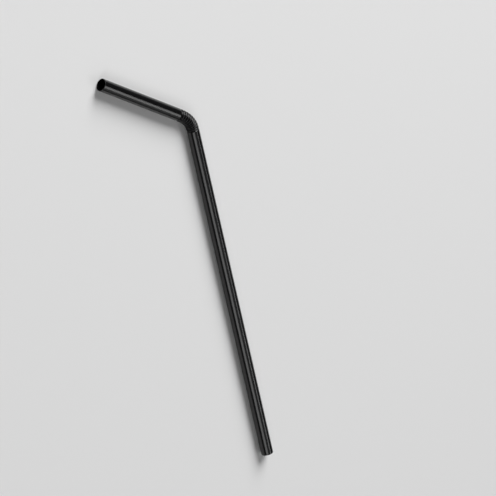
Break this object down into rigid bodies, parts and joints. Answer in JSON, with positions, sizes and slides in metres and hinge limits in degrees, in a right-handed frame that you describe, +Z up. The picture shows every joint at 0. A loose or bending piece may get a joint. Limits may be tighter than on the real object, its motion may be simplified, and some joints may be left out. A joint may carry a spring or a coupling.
{
  "type": "flexible drinking straw",
  "caption": "Thin-walled plastic drinking straw, bent at its folded section, with a long leg, a short leg and an open bore from end to end.",
  "frame": {"origin": "centre of the straw's footprint, on the surface that it lies on", "axes": "+Z up from the surface, +Y along the long leg from its foot towards the folds, the short leg turned towards -X"},
  "size_m": [0.05, 0.2206, 0.0061],
  "materials": {
    "black_polypropylene": "satin, with fine lines along the tube from extrusion"
  },
  "bodies": {
    "root": {"straw": "black_polypropylene"}
  },
  "joints": []
}
